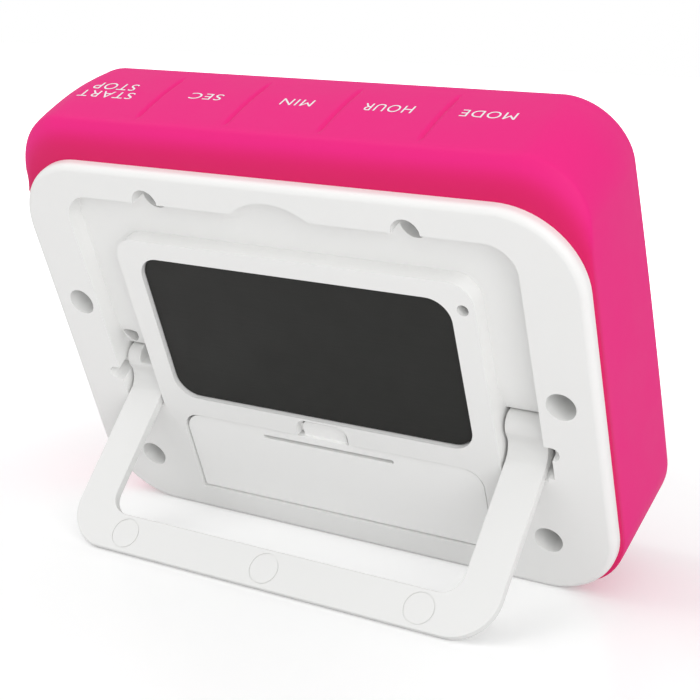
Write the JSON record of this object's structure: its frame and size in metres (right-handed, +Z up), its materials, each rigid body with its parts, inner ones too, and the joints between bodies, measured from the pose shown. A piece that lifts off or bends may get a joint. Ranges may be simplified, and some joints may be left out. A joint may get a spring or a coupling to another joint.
{
  "type": "digital countdown timer",
  "caption": "Leaning countdown timer in a soft sleeve, with keys along the top, a magnet and a battery door in the back, and a fold-out U-shaped stand.",
  "frame": {"origin": "on the floor under the middle of the timer as it stands leaning on its opened stand", "axes": "+X to the right seen from the display, +Y from the display to the back, +Z up from the floor"},
  "size_m": [0.1006, 0.0504, 0.0785],
  "materials": {
    "pink_silicone": "soft matte silicone",
    "pink_keys": "soft matte silicone",
    "white_cover": "fine satin moulding",
    "white_housing": "satin moulding",
    "magnet": "dark bonded magnet with faint drag lines",
    "steel": "plated sheet steel",
    "clear_lens": "clear polished window",
    "lcd_glass": "grey-green display glass",
    "reflector": "matte foil",
    "contact_rubber": "layered contact rubber",
    "circuit_board": "green solder mask",
    "black_plastic": "black moulding",
    "capacitor_sleeve": "dark shrink sleeve",
    "red_wire": "wire insulation",
    "cell_jacket": "plain dark cell jacket"
  },
  "bodies": {
    "case": {"sleeve": "pink_silicone", "front_housing": "white_housing", "rear_cover": "white_cover", "magnet": "magnet", "magnet_plate": "steel", "switch_bodies": "steel", "display_lens": "clear_lens", "display_glass": "lcd_glass", "display_reflector": "reflector", "display_holder": "white_housing", "contact_strips": "contact_rubber", "circuit_board": "circuit_board", "board_screws": "steel", "chip_cap": "black_plastic", "crystal": "steel", "capacitors": "capacitor_sleeve", "buzzer": "black_plastic", "buzzer_ring": "contact_rubber", "buzzer_leads": "red_wire", "battery_upper": "cell_jacket", "battery_lower": "cell_jacket", "link_contact": "steel", "positive_terminal": "steel", "negative_terminal": "steel", "case_screws": "steel"},
    "stand": {"stand": "white_cover"},
    "battery_door": {"battery_door": "white_cover"},
    "key_mode": {"key_mode": "pink_keys", "plunger_mode": "black_plastic"},
    "key_hour": {"key_hour": "pink_keys", "plunger_hour": "black_plastic"},
    "key_min": {"key_min": "pink_keys", "plunger_min": "black_plastic"},
    "key_sec": {"key_sec": "pink_keys", "plunger_sec": "black_plastic"},
    "key_start_stop": {"key_start_stop": "pink_keys", "plunger_start_stop": "black_plastic"}
  },
  "joints": [
    {"name": "stand_hinge", "type": "hinge", "parent": "case", "child": "stand", "pos_m": [0, 0.00473, 0.02866], "axis": [1, 0, 0], "range_deg": [0, 116]},
    {"name": "battery_door_hinge", "type": "hinge", "parent": "case", "child": "battery_door", "pos_m": [0, -0.00108, 0.00501], "axis": [-1, 0, 0], "range_deg": [0, 60]},
    {"name": "key_mode_press", "type": "slide", "parent": "case", "child": "key_mode", "axis": [0, -0.3987, -0.9171], "range_m": [0, 0.0005], "stiffness_N_per_m": 2000},
    {"name": "key_hour_press", "type": "slide", "parent": "case", "child": "key_hour", "axis": [0, -0.3987, -0.9171], "range_m": [0, 0.0005], "stiffness_N_per_m": 2000},
    {"name": "key_min_press", "type": "slide", "parent": "case", "child": "key_min", "axis": [0, -0.3987, -0.9171], "range_m": [0, 0.0005], "stiffness_N_per_m": 2000},
    {"name": "key_sec_press", "type": "slide", "parent": "case", "child": "key_sec", "axis": [0, -0.3987, -0.9171], "range_m": [0, 0.0005], "stiffness_N_per_m": 2000},
    {"name": "key_start_stop_press", "type": "slide", "parent": "case", "child": "key_start_stop", "axis": [0, -0.3987, -0.9171], "range_m": [0, 0.0005], "stiffness_N_per_m": 2000}
  ]
}
